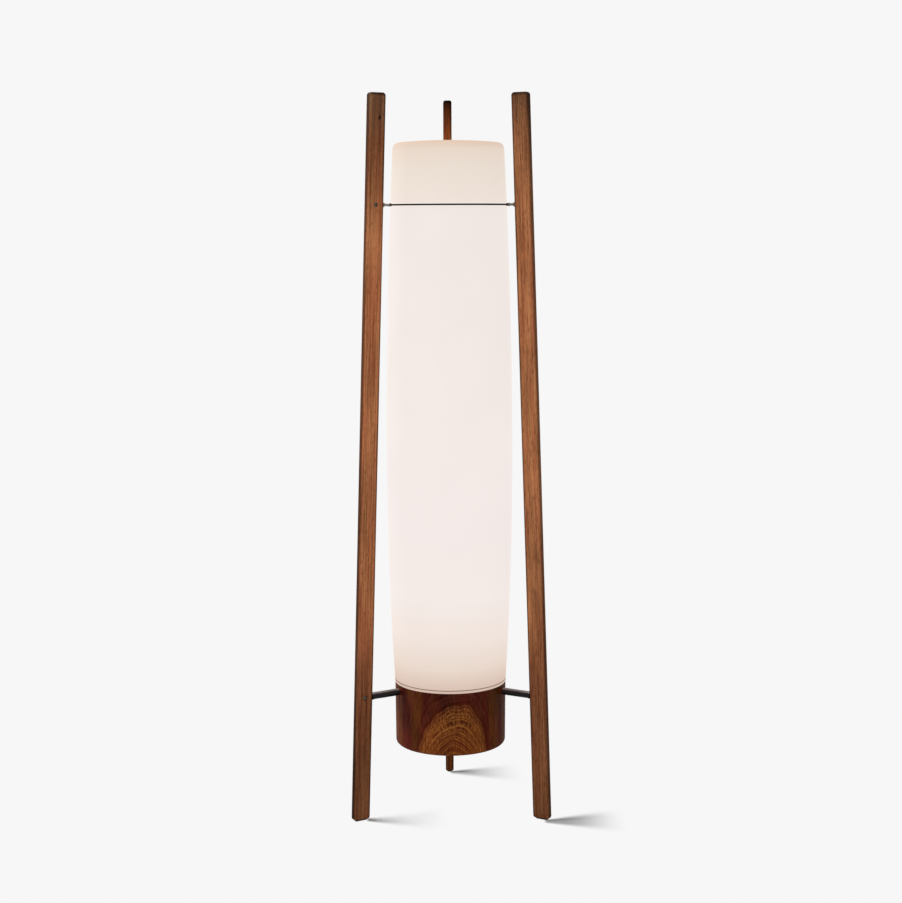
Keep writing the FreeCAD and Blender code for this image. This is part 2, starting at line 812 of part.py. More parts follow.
def make_strip(name, angle):
    """A light strip on one side of the column, above its foot."""
    body = new_body("led_strip_" + name, angle)
    face = size.column_width / 2
    bottom = column_foot_top + size.strip_end_gap
    corners = rectangle(face, -size.strip_width / 2, face + size.strip_thickness, size.strip_width / 2)
    pad(body, "XY_Plane", corners, column_top - size.strip_end_gap - bottom, offset=bottom)


def make_cap():
    """The plastic cap that closes the column's top."""
    body = new_body("column_cap")
    plug = size.column_width - size.column_wall * 2 - size.fit * 2
    pad(body, "XY_Plane", square(size.column_width), size.cap_thickness, offset=column_top)
    pad(body, "XY_Plane", square(plug), size.cap_plug_length, offset=column_top - size.cap_plug_length)


# Inside the cup

def make_driver():
    """The driver: a rounded case with a flange at each end."""
    body = new_body("led_driver")
    bind(body, "Placement.Base.y", size.driver_centre)
    length = size.driver_length / 2
    width = size.driver_width / 2
    pad(body, "XY_Plane", rectangle(-length, -width, length, width), size.driver_depth,
        offset=cup_floor_height)
    soften(body, size.driver_rounding, lambda edge: edge.BoundBox.ZLength > size.driver_rounding.number
           or near(edge.BoundBox.ZMin, cup_floor_height + size.driver_depth))
    reach = length + size.driver_flange_length
    pad(body, "XY_Plane", rectangle(-reach, -width / 2, reach, width / 2), size.driver_flange_thickness,
        offset=cup_floor_height)
    hole = upright_hole(body, driver_screw_place, cup_floor_height - size.overrun,
                        cup_floor_height + size.driver_flange_thickness + size.fit)
    repeat_round(body, [hole], DRIVER_SCREW_COUNT)


def make_driver_screws():
    """The two screws that hold the driver down, each in its own pilot hole."""
    body = new_body("driver_screws")
    bind(body, "Placement.Base.y", size.driver_centre)
    upright_screws(body, driver_screw_place, cup_floor_height + size.driver_flange_thickness,
                   size.driver_flange_thickness + size.wood_screw_bite, DRIVER_SCREW_COUNT)


def make_terminal():
    """The terminal block on the cup's floor, with its wells and the hole for its own screw."""
    body = new_body("terminal_block")
    bind(body, "Placement.Base.y", -size.terminal_centre)
    length = size.terminal_length / 2
    width = size.terminal_width / 2
    top = cup_floor_height + size.terminal_depth
    pad(body, "XY_Plane", rectangle(-length, -width, length, width), size.terminal_depth,
        offset=cup_floor_height)
    soften(body, size.terminal_rounding, lambda edge: near(edge.BoundBox.ZMin, top))
    for way in TERMINAL_WAYS:
        middle = size.terminal_pitch * way if way else ZERO
        well = rectangle(middle, top - size.terminal_well_depth, middle + size.terminal_well_radius,
                         top + size.overrun)
        for side in (size.terminal_row, -size.terminal_row):
            turn(body, "XZ_Plane", well, "upright", middle, side, cut=True)
    upright_hole(body, ZERO, cup_floor_height - size.overrun, top + size.overrun)


def make_terminal_screw():
    """The screw that holds the terminal block down."""
    body = new_body("terminal_screw")
    bind(body, "Placement.Base.y", -size.terminal_centre)
    upright_screws(body, ZERO, cup_floor_height + size.terminal_depth,
                   size.terminal_depth + size.wood_screw_bite, 1)


# Cable gland

gland_flange_bottom = size.cup_underside_height - size.gland_flange_thickness
gland_stub_end = gland_flange_bottom - size.gland_stub_length
seal_bottom = gland_stub_end - size.gland_seal_length
dome_bottom = seal_bottom - size.gland_dome_lip
gland_body_top = cup_floor_height + size.gland_nut_thickness + size.gland_thread_past_nut


def make_gland_body():
    """The gland's body: a hexagonal flange under the cup, on a threaded tube through its floor."""
    body = new_body("gland_body")
    pad(body, "XY_Plane", hexagon(size.gland_hex_radius), size.gland_flange_thickness,
        offset=gland_flange_bottom)
    turn(body, "XZ_Plane", rectangle(ZERO, gland_stub_end, size.gland_thread_radius, gland_body_top))
    turn(body, "XZ_Plane", rectangle(ZERO, gland_stub_end - size.overrun, size.gland_bore_radius,
                                     gland_body_top + size.overrun), cut=True)


def make_gland_dome():
    """The domed nut that squeezes the seal."""
    body = new_body("gland_dome_nut")
    top = gland_flange_bottom - size.fit
    middle = gland_stub_end
    cavity = size.gland_thread_radius + size.fit
    pad(body, "XY_Plane", hexagon(size.gland_hex_radius), top - middle, offset=middle)
    crown = cavity + size.gland_dome_lip
    turn(body, "XZ_Plane", [
        (ZERO, dome_bottom),
        (cavity, dome_bottom),
        (crown, middle, "y", middle),
        (crown, middle + size.fit),
        (ZERO, middle + size.fit),
    ])
    turn(body, "XZ_Plane", rectangle(ZERO, seal_bottom, cavity, top + size.overrun), cut=True)
    turn(body, "XZ_Plane", rectangle(ZERO, dome_bottom - size.overrun, size.gland_bore_radius,
                                     seal_bottom + size.fit), cut=True)


def make_gland_seal():
    """The rubber seal, whose bore takes the cable."""
    body = new_body("gland_seal")
    turn(body, "XZ_Plane", rectangle(size.gland_seal_bore_radius, seal_bottom, size.gland_thread_radius,
                                     gland_stub_end))


def make_gland_locknut():
    """The nut that holds the gland from inside the cup."""
    body = new_body("gland_locknut")
    pad(body, "XY_Plane", hexagon(size.gland_hex_radius), size.gland_nut_thickness, offset=cup_floor_height)
    bore = size.gland_thread_radius + size.fit
    turn(body, "XZ_Plane", rectangle(ZERO, cup_floor_height - size.overrun, bore,
                                     cup_floor_height + size.gland_nut_thickness + size.overrun), cut=True)


# Lead

def lead_points():
    """The lead's route: out of the driver's end, up in a loose bend, and up the middle of the column."""
    side = size.driver_length.number / 2
    centre = size.driver_centre.number
    low = (cup_floor_height + size.lead_exit_height).number
    reach = side + size.lead_reach.number
    turn_x = reach - size.lead_turn_back.number
    turn_y = centre - size.lead_turn_in.number
    return [
        FreeCAD.Vector(side, centre, low),
        FreeCAD.Vector(reach, centre, low),
        FreeCAD.Vector(turn_x, turn_y, low + size.lead_rise.number),
        FreeCAD.Vector(0, 0, (plate_bottom - size.lead_drop).number),
        FreeCAD.Vector(0, 0, column_foot_top.number),
    ]


def rounded_path(points):
    """Join points by straight runs and tangent arcs, each arc as large as its two runs allow."""
    edges = []
    start = points[0]
    for before, here, after in zip(points, points[1:], points[2:]):
        arriving = (here - before).normalize()
        leaving = (after - here).normalize()
        half = arriving.getAngle(leaving) / 2
        room_before = here.distanceToPoint(before)
        room_before *= END_RUN_SHARE if before == points[0] else MID_RUN_SHARE
        room_after = here.distanceToPoint(after)
        room_after *= END_RUN_SHARE if after == points[-1] else MID_RUN_SHARE
        cut_back = min(room_before, room_after)
        radius = cut_back / math.tan(half)
        first = here - arriving * cut_back
        last = here + leaving * cut_back
        inward = (leaving - arriving).normalize()
        middle = here + inward * (radius / math.cos(half) - radius)
        edges.append(Part.LineSegment(start, first).toShape())
        edges.append(Part.Arc(first, middle, last).toShape())
        start = last
    edges.append(Part.LineSegment(start, points[-1]).toShape())
    return Part.Wire(edges)


def make_lead():
    """The two-core lead as one plain tube along its route."""
    points = lead_points()
    circle = Part.Circle(points[0], points[1] - points[0], size.lead_radius.number)
    tube = Part.BRepOffsetAPI.MakePipeShell(rounded_path(points))
    tube.add(Part.Wire([circle.toShape()]))
    tube.build()
    tube.makeSolid()
    lead = doc.addObject("Part::Feature", "led_lead")
    lead.Label = "led_lead"
    lead.Shape = tube.shape()
    lead.Placement = FreeCAD.Placement()
    nodes.append(lead)


# Assembly

for leg_name, leg_angle in LEGS.items():
    make_leg(leg_name, leg_angle)
make_foot_pads()
make_cup()
make_collars()
make_inserts()
for leg_name, leg_angle in LEGS.items():
    make_rod(leg_name, leg_angle)
make_cross_screws("lower_cross_screws", rod_height, size.lower_screw_head_radius,
                  size.lower_screw_head_height, size.lower_screw_shank_radius, size.lower_sink_depth)
make_ring()
for leg_name, leg_angle in LEGS.items():
    make_stub(leg_name, leg_angle)
make_cross_screws("upper_cross_screws", ring_height, size.upper_screw_head_radius,
                  size.upper_screw_head_height, size.upper_screw_shank_radius, size.upper_sink_depth)
make_shade()
make_plate()
make_chassis_screws()
make_column_foot()
make_column_foot_screws()
make_set_screw()
make_column()
for side_name, side_angle in COLUMN_SIDES.items():
    make_strip(side_name, side_angle)
make_cap()
make_driver()
make_driver_screws()
make_terminal()
make_terminal_screw()
make_gland_body()
make_gland_dome()
make_gland_seal()
make_gland_locknut()
make_lead()
doc.recompute()


# Checks and export

def check_document():
    """Stop if any object failed, or if a sub-part has no sound shape."""
    for thing in doc.Objects:
        if "Invalid" in thing.State or "Error" in thing.State:
            raise ValueError("%s is not sound: %s" % (thing.Name, thing.State))
    for node in nodes:
        if node.Shape.isNull() or not node.Shape.isValid():
            raise ValueError("%s has no sound shape" % node.Label)


check_document()
os.makedirs("parts", exist_ok=True)
for node in nodes:
    box = node.Shape.BoundBox
    print("%-20s solids %d volume %.0f z %.1f to %.1f" % (
        node.Label, len(node.Shape.Solids), node.Shape.Volume, box.ZMin, box.ZMax))
    node.Shape.exportStep("parts/%s.step" % node.Label)
print(len(nodes), "nodes")
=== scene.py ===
# %% [markdown]
# # Andon floor lamp: dressing a CAD model
#
# The lamp is an opal shade in a turned walnut cup, carried between three leaning walnut boards by
# steel rods below and a thin steel ring above. The CAD model already holds every rigid piece at its
# real size, so this lesson is mostly about finishes. Only the lead inside the cup is drawn here again,
# as a smooth curve.
#
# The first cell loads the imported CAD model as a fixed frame. Nothing in it is moved or reshaped.

# %% Load the CAD model
import math

import bpy
from mathutils import Euler, Matrix, Vector


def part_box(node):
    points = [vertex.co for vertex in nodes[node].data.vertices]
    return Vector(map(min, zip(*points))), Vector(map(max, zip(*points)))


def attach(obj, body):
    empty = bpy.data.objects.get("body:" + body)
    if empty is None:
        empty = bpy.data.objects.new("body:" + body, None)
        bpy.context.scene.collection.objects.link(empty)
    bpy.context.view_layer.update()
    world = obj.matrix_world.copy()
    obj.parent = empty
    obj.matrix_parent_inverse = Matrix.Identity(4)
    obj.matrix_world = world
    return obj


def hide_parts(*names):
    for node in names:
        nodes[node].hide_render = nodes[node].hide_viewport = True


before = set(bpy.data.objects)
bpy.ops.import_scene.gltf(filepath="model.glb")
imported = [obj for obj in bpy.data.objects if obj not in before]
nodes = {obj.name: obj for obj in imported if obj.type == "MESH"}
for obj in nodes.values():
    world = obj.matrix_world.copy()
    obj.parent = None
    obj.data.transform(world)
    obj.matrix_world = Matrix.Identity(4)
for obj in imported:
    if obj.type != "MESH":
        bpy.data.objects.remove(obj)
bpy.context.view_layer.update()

MM = 0.001

# %% [markdown]
# ## The camera
#
# The photograph was matched by fitting a pinhole camera to the edges of the boards, the shade and the
# cup. The fit gives the camera's height and distance, how far it looks down, and its lens. The lamp
# stands almost square to the camera, so the camera is swung round it by less than one degree.

# %% Place the camera
PHOTO_HEIGHT_PX = 903
FOCAL_PX = 1728.4
SENSOR = 36.0
CAMERA_DISTANCE = 2883 * MM
CAMERA_HEIGHT = 994 * MM
CAMERA_SIDE = 2.5 * MM
CAMERA_PITCH = 0.132
CAMERA_SWING = 0.0117
CAMERA_ROLL = -0.0039

camera_data = bpy.data.cameras.new("camera")
camera_data.sensor_width = SENSOR
camera_data.lens = FOCAL_PX * SENSOR / PHOTO_HEIGHT_PX
camera = bpy.data.objects.new("camera", camera_data)
bpy.context.scene.collection.objects.link(camera)
swing = Matrix.Rotation(-CAMERA_SWING, 3, "Z")
camera.location = swing @ Vector((CAMERA_SIDE, -CAMERA_DISTANCE, CAMERA_HEIGHT))
looking = Euler((math.pi / 2 - CAMERA_PITCH, 0, 0)).to_matrix()
rolled = Matrix.Rotation(CAMERA_ROLL, 3, "Z")
camera.rotation_euler = (swing @ looking @ rolled).to_euler()
bpy.context.scene.camera = camera
print("lens", round(camera_data.lens, 2), "mm at", [round(v, 3) for v in camera.location])

# %% [markdown]
# ## The lead inside the cup
#
# A short round lead runs from the driver, over the cup's floor and up into the light column. It hangs
# free, so it is a curve: one smooth spline through the air, with a round bevel for its jacket. The same
# few points shape its CAD tube. They only steer the spline, which gives a line without any kink.
#
# A curve's bevel is its depth times the radius of its points, and its box grows by that radius too. So
# the jacket's radius is given to the points and the depth is one, or else the box would be far too big.

# %% Draw the lead
LEAD_ROUTE = [
    (0.041, 0.034, 0.1364),
    (0.0615, 0.034, 0.1364),
    (0.0574, 0.0136, 0.1726),
    (0, 0, 0.1953),
    (0, 0, 0.25),
]
LEAD_DIAMETER = 3.8 * MM

lead_curve = bpy.data.curves.new("lead", "CURVE")
lead_curve.dimensions = "3D"
lead_curve.bevel_depth = 1
lead_curve.bevel_resolution = 4
lead_curve.resolution_u = 16
lead_curve.use_fill_caps = True
spline = lead_curve.splines.new("NURBS")
spline.points.add(len(LEAD_ROUTE) - 1)
for point, place in zip(spline.points, LEAD_ROUTE):
    point.co = (*place, 1)
    point.radius = LEAD_DIAMETER / 2
spline.order_u = 3
spline.use_endpoint_u = True
lead = bpy.data.objects.new("lead", lead_curve)
bpy.context.scene.collection.objects.link(lead)
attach(lead, "stand")
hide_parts("led_lead")

# %% [markdown]
# ## Helpers for materials
#
# Every finish here is a network of nodes, and a few small helpers keep the networks readable. A helper
# takes a plain value or the output of another node for each input, and it returns its own output, so
# that a chain of nodes reads like a formula. A plain number for a colour is a grey.

# %% Add, fill and join nodes
def plug(tree, value, socket):
    """Link a node's output to a socket, or set the socket to a plain value."""
    if isinstance(value, bpy.types.NodeSocket):
        tree.links.new(value, socket)
    else:
        socket.default_value = value


def add_node(tree, kind, inputs=None, **settings):
    """Add a node, set its properties, and fill its inputs."""
    node = tree.nodes.new(kind)
    for name, value in settings.items():
        setattr(node, name, value)
    for key, value in (inputs or {}).items():
        plug(tree, value, node.inputs[key])
    return node


def maths(tree, operation, first, second=0.0):
    return add_node(tree, "ShaderNodeMath", {0: first, 1: second}, operation=operation).outputs[0]


def vector_maths(tree, operation, first, second=(0, 0, 0)):
    """Add, subtract or multiply two vectors, or measure the length of one."""
    outputs = add_node(tree, "ShaderNodeVectorMath", {0: first, 1: second}, operation=operation).outputs
    return outputs["Value" if operation == "LENGTH" else "Vector"]


def map_range(tree, value, start, end, first=0.0, last=1.0, **settings):
    """Go from the first number, where the value is at its start, to the last one at its end."""
    sockets = {"Value": value, "From Min": start, "From Max": end, "To Min": first, "To Max": last}
    return add_node(tree, "ShaderNodeMapRange", sockets, **settings).outputs["Result"]


# %% Colours from nodes
def as_colour(value):
    """Four numbers from a grey or a colour. A node's output stays as it is."""
    if isinstance(value, bpy.types.NodeSocket):
        return value
    if isinstance(value, (int, float)):
        return (value, value, value, 1)
    return (*value, 1)[:4]


def ramp(tree, factor, stops):
    """Turn a factor into colours. Stops are (position, colour) pairs."""
    node = add_node(tree, "ShaderNodeValToRGB", {"Fac": factor})
    elements = node.color_ramp.elements
    while len(elements) < len(stops):
        elements.new(0.5)
    for element, (position, colour) in zip(elements, stops):
        element.position = position
        element.color = as_colour(colour)
    return node.outputs["Color"]


def mix(tree, factor, first, second, blend="MIX"):
    """Mix two colours."""
    node = add_node(tree, "ShaderNodeMix", data_type="RGBA", blend_type=blend)
    sockets = {socket.name: socket for socket in node.inputs if socket.enabled}
    plug(tree, factor, sockets["Factor"])
    plug(tree, as_colour(first), sockets["A"])
    plug(tree, as_colour(second), sockets["B"])
    return [socket for socket in node.outputs if socket.enabled][0]


def shaded(tree, colour, *tones):
    """Multiply a colour by one tone after another."""
    for tone in tones:
        colour = mix(tree, 1.0, colour, tone, "MULTIPLY")
    return colour


# %% Places and patterns
def object_space(tree):
    """Places in metres that stay with the object."""
    return add_node(tree, "ShaderNodeTexCoord").outputs["Object"]


def split(tree, vector):
    """The X, Y and Z of a vector."""
    return add_node(tree, "ShaderNodeSeparateXYZ", {"Vector": vector}).outputs


def stretched(tree, vector, scale, move=(0, 0, 0)):
    """Scale and shift places. A pattern grows longer where the scale is under one."""
    return add_node(tree, "ShaderNodeMapping", {"Vector": vector, "Scale": scale, "Location": move},
                    vector_type="POINT").outputs["Vector"]


def rotated(tree, vector, axis, angle, centre=(0, 0, 0)):
    return add_node(tree, "ShaderNodeVectorRotate", {"Vector": vector, "Angle": angle, "Center": centre},
                    rotation_type=axis + "_AXIS").outputs["Vector"]


def noise(tree, vector, scale, detail, roughness=0.55, distortion=0.0):
    sockets = {"Vector": vector, "Scale": scale, "Detail": detail, "Roughness": roughness,
               "Distortion": distortion}
    return add_node(tree, "ShaderNodeTexNoise", sockets).outputs["Fac"]


# %% [markdown]
# A pattern that several finishes share is a node group: it is built once and used with different
# numbers. A group only puts out what varies over a surface. The values that stay the same, such as how
# strongly a finish reflects, are set on each material's own shader.

# %% Groups and materials
def new_group(name, inputs, outputs):
    """Start a node group with named sockets, each a name and its kind."""
    tree = bpy.data.node_groups.new(name, "ShaderNodeTree")
    for direction, sockets in (("INPUT", inputs), ("OUTPUT", outputs)):
        for label, kind in sockets.items():
            tree.interface.new_socket(label, in_out=direction, socket_type="NodeSocket" + kind)
    return tree, tree.nodes.new("NodeGroupInput").outputs, tree.nodes.new("NodeGroupOutput").inputs


def use_group(tree, group, **inputs):
    node = tree.nodes.new("ShaderNodeGroup")
    node.node_tree = group
    for name, value in inputs.items():
        plug(tree, value, node.inputs[name])
    return node.outputs


def new_material(name, **shader):
    """Start a material with one Principled shader whose plain sockets are set by name."""
    material = bpy.data.materials.new(name)
    material.use_nodes = True
    tree = material.node_tree
    principled = tree.nodes["Principled BSDF"]
    for key, value in shader.items():
        principled.inputs[key.replace("_", " ")].default_value = value
    return material, tree, principled


def bump(tree, principled, height, strength, distance):
    """Let a height shape the surface. Strength goes up to one, and distance is in metres."""
    sockets = {"Height": height, "Strength": strength, "Distance": distance}
    plug(tree, add_node(tree, "ShaderNodeBump", sockets).outputs["Normal"], principled.inputs["Normal"])


def dress(material, *names):
    """Give a material to CAD nodes or pieces, in place of what they have."""
    for name in names:
        thing = nodes.get(name) or bpy.data.objects[name]
        thing.data.materials.clear()
        thing.data.materials.append(material)
    print(material.name, "has", len(material.node_tree.nodes), "nodes and is on", ", ".join(names))


# %% [markdown]
# ## Walnut boards
#
# Each board is sawn along the grain, so its figure runs straight up the board: broad bands of lighter
# and darker heartwood, fine streaks, and short dark pores. All of that is noise that is stretched along
# the board. The boards stand at three angles and lean in a little, so each material first turns the
# object's coordinates into the board's own directions: outward, across its thickness, and along it.

# %% Where the boards stand
LEG_ANGLES = {"leg_back": 90.0, "leg_left": 210.0, "leg_right": 330.0}
BOARD_WIDTH = 29.6 * MM
back_low, back_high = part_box("leg_back")
board_thickness = back_high[0] - back_low[0]
foot_radius = back_high[1] - BOARD_WIDTH / 2
board_height = back_high[2]
board_lean = math.atan2(foot_radius - (back_low[1] + BOARD_WIDTH / 2), board_height)
print("boards lean", round(math.degrees(board_lean), 2), "degrees from", round(foot_radius, 4), "m out")

# %% Grain along a board
# Painted glow from the shade: each board is lightest level with the shade and darker towards both ends.
BOARD_PAINTED_GLOW_TONES = [(0.0, 0.42), (0.15, 0.46), (0.25, 0.56), (0.38, 0.93), (0.58, 1.05), (0.74, 1.08),
                      (0.83, 1.03), (0.92, 0.6), (1.0, 0.42)]
LENGTH_UNEVENNESS = 0.3


def build_grain(tree, height, inputs):
    """The colour of the wood before any stain, with a painted glow from the shade along its length, and
    the streaks and pores that shape its surface.
    """
    seeded = vector_maths(tree, "ADD", inputs["Place"], inputs["Seed"])

    def along_grain(stretch, *pattern):
        return noise(tree, stretched(tree, seeded, (1, 1, stretch)), *pattern)

    bands = along_grain(0.04, 130.0, 3.0, 0.6, 0.5)
    streaks = along_grain(0.02, 430.0, 4.0, 0.65)
    pores = ramp(tree, along_grain(0.12, 850.0, 2.0, 0.6), [(0.34, 0.7), (0.44, 0)])
    clouds = along_grain(0.3, 14.0, 3.0, 0.55)

    colour = mix(tree, ramp(tree, bands, [(0.36, 0), (0.64, 1)]), inputs["Red"], inputs["Gold"])
    colour = mix(tree, ramp(tree, streaks, [(0.38, 0.6), (0.55, 0)]), colour, inputs["Dark"])
    colour = shaded(tree, colour, ramp(tree, clouds, [(0.3, 0.72), (0.68, 1.2)]))
    colour = mix(tree, pores, colour, inputs["Dark"])

    uneven = maths(tree, "MULTIPLY", maths(tree, "SUBTRACT", clouds, 0.5), LENGTH_UNEVENNESS)
    share = maths(tree, "ADD", maths(tree, "DIVIDE", height, board_height), uneven)
    return shaded(tree, colour, ramp(tree, share, BOARD_PAINTED_GLOW_TONES)), streaks, pores


# %% [markdown]
# The finish has sunk in more at the two ends. The rounded edges and the outer face are darker with
# painted shade. Where the outer face of a side board turns to the front, its corner is as light as the
# front itself, and the rest has painted shade. The inner face has a tone of its own: a painted glow on
# the back board and painted shade on the side boards. Each board also fades differently towards its top
# and its foot, with painted light and shade. All of these are masks over the board's own directions, so
# they stay with the board from every side. Each gives a tone, and the colour of the wood is multiplied
# by one after another.

# %% Stains and painted shade of a board
TOP_PAINTED_LIGHT_REACH = 75 * MM
FOOT_PAINTED_SHADE_SPAN = (0.25, 0.08)
END_STAIN = 5 * MM
TOP_END_TONE = 0.22
FOOT_END_TONE = 0.3
EDGE_PAINTED_SHADE = 0.3


def build_stains_and_painted_shade(tree, parts, inputs):
    """The tones of the end-grain stains, and of the painted shade and light on the edges, faces, top and
    foot. Rear is the side of the board that faces backward.
    """
    height = parts["Z"]
    outward = maths(tree, "DIVIDE", parts["X"], BOARD_WIDTH / 2)
    inward = maths(tree, "MULTIPLY", outward, -1.0)
    sideways = maths(tree, "DIVIDE", parts["Y"], board_thickness / 2)
    rear = maths(tree, "MULTIPLY", sideways, inputs["Rear"])

    corner = maths(tree, "MINIMUM", maths(tree, "ABSOLUTE", outward), maths(tree, "ABSOLUTE", sideways))
    front_corner = maths(tree, "MINIMUM", outward, maths(tree, "MULTIPLY", rear, -1.0))
    # Painted shade along the rounded edges, except where the outer face turns to the front.
    painted_edge_shade = ramp(tree, corner, [(0.7, 1), (0.86, EDGE_PAINTED_SHADE)])
    painted_edge_shade = mix(tree, ramp(tree, front_corner, [(0.5, 0), (0.7, 1)]), painted_edge_shade, 1)

    # Painted shade on the outer face, which stays light only at its front corner.
    outer_painted_shade_tone = map_range(tree, rear, -0.95, -0.45, 1.0, inputs["Outer"])
    outer_painted_shade = mix(tree, ramp(tree, outward, [(0.86, 0), (0.97, 1)]), 1, outer_painted_shade_tone)
    # Painted light and shade on the inner face: a warm glow on the back board, shade on the side boards.
    inner_painted_light = mix(tree, ramp(tree, inward, [(0.93, 0), (0.99, 1)]), 1, inputs["Inner"])

    # Painted light and shade towards the top and the foot of each board.
    to_top = map_range(tree, height, board_height, board_height - TOP_PAINTED_LIGHT_REACH, 1.0, 0.0)
    top_painted_light = mix(tree, to_top, 1, inputs["Top"])
    foot_start, foot_full = [share * board_height for share in FOOT_PAINTED_SHADE_SPAN]
    foot_painted_shade = map_range(tree, height, foot_start, foot_full, 1.0, inputs["Foot"])
    top_end = map_range(tree, height, board_height - END_STAIN, board_height - END_STAIN / 3, 1.0,
                        TOP_END_TONE)
    foot_end = map_range(tree, height, END_STAIN, END_STAIN / 3, 1.0, FOOT_END_TONE)
    return painted_edge_shade, top_painted_light, foot_painted_shade, outer_painted_shade, inner_painted_light, top_end, foot_end


# %% [markdown]
# The left board has a small dark knot near its top. It is an upright oval on the board's face, so its
# distance is measured without the depth. A board without a knot gets one far below the floor.

# %% The board wood group
KNOT_SHAPE = (1, 0, 0.6)
KNOT_CORE = 0.8 * MM
KNOT_REACH = 3 * MM
KNOT_BLACK = (0.006, 0.002, 0.001)


def build_knot(tree, inputs):
    """A mask that is one at the knot and fades round it."""
    from_knot = vector_maths(tree, "SUBTRACT", inputs["Place"], inputs["Knot"])
    away = vector_maths(tree, "LENGTH", vector_maths(tree, "MULTIPLY", from_knot, KNOT_SHAPE))
    return map_range(tree, away, KNOT_CORE, KNOT_REACH, 1.0, 0.0)


def build_board_wood_group():
    """Straight walnut grain with its stains and painted shade. Place is in metres: X outward from the
    board's middle, Z along it.
    """
    tree, inputs, outputs = new_group(
        "board_wood",
        {"Place": "Vector", "Seed": "Vector", "Knot": "Vector", "Dark": "Color", "Red": "Color",
         "Gold": "Color", "Top": "Color", "Foot": "Float", "Outer": "Float", "Inner": "Color",
         "Rear": "Float"},
        {"Color": "Color", "Roughness": "Float", "Height": "Float"},
    )
    parts = split(tree, inputs["Place"])
    grain, streaks, pores = build_grain(tree, parts["Z"], inputs)
    stained_and_shaded = shaded(tree, grain, *build_stains_and_painted_shade(tree, parts, inputs))
    plug(tree, mix(tree, build_knot(tree, inputs), stained_and_shaded, KNOT_BLACK), outputs["Color"])
    plug(tree, ramp(tree, streaks, [(0.3, 0.62), (0.7, 0.46)]), outputs["Roughness"])
    plug(tree, maths(tree, "SUBTRACT", maths(tree, "MULTIPLY", streaks, 0.35), pores), outputs["Height"])
    return tree


board_wood = build_board_wood_group()
print("board_wood has", len(board_wood.nodes), "nodes")

# %% A material for each board
WALNUT = {"Dark": (0.1, 0.032, 0.012), "Red": (0.43, 0.145, 0.056), "Gold": (0.5, 0.215, 0.078)}
BOARD_TINT = {
    "leg_back": (1.0, 0.96, 0.98),
    "leg_left": (0.95, 0.89, 0.99),
    "leg_right": (1.0, 0.98, 1.1),
}
NO_KNOT = (0, 0, -1)
LEFT_KNOT = (-3.6 * MM, 0, 1161 * MM)
# Seed and knot are the wood's own. Top, Foot, Outer, Inner and Rear set each board's painted light and
# shade.
BOARD_FIGURE_AND_PAINTED_LIGHT = {
    "leg_back": {
        "Seed": (0.37, 0.11, 0.2),
        "Knot": NO_KNOT,
        "Top": (0.1, 0.09, 0.12, 1),
        "Foot": 0.6,
        "Outer": 1.0,
        "Inner": (1.26, 0.86, 0.57, 1),
        "Rear": 0.0,
    },
    "leg_left": {
        "Seed": (1.93, 0.52, 0.7),
        "Knot": LEFT_KNOT,
        "Top": (1.15, 1.5, 1.8, 1),
        "Foot": 1.08,
        "Outer": 0.19,
        "Inner": (0.22, 0.2, 0.2, 1),
        "Rear": -1.0,
    },
    "leg_right": {
        "Seed": (4.41, 0.83, 2.1),
        "Knot": NO_KNOT,
        "Top": (0.62, 0.68, 0.75, 1),
        "Foot": 0.97,
        "Outer": 0.45,
        "Inner": (0.2, 0.18, 0.18, 1),
        "Rear": 1.0,
    },
}


def build_board_material(name):
    """Walnut whose grain follows one board."""
    material, tree, principled = new_material("walnut_" + name, IOR=1.47, Specular_IOR_Level=0.02)
    outward = rotated(tree, object_space(tree), "Z", -math.radians(LEG_ANGLES[name]))
    upright = rotated(tree, outward, "Y", board_lean, (foot_radius, 0, 0))
    place = vector_maths(tree, "SUBTRACT", upright, (foot_radius, 0, 0))
    tinted = {key: as_colour([c * t for c, t in zip(colour, BOARD_TINT[name])])
              for key, colour in WALNUT.items()}
    wood = use_group(tree, board_wood, Place=place, **tinted, **BOARD_FIGURE_AND_PAINTED_LIGHT[name])
    plug(tree, wood["Color"], principled.inputs["Base Color"])
    plug(tree, wood["Roughness"], principled.inputs["Roughness"])
    bump(tree, principled, wood["Height"], 0.4, 0.3 * MM)
    return material


for name in LEG_ANGLES:
    dress(build_board_material(name), name)

# %% [markdown]
# ## The turned cup
#
# The cup is turned from one thick block. Where its side runs across the tree's growth rings they show
# as nested arches, and where it runs along them they show as fine upright lines. One solid pattern
# gives both: distance from a point low on the front of the cup, stretched in depth, and cut into rings.
# Real rings are never evenly spaced, so noise bends them and also moves them closer and further apart.

# %% The growth ring group
BENDS = {11.0: 1.0, 45.0: 0.42}
YEARS_SCALE = 75.0
YEARS_SHIFT = 3.2
FINE_PER_RING = 2.3


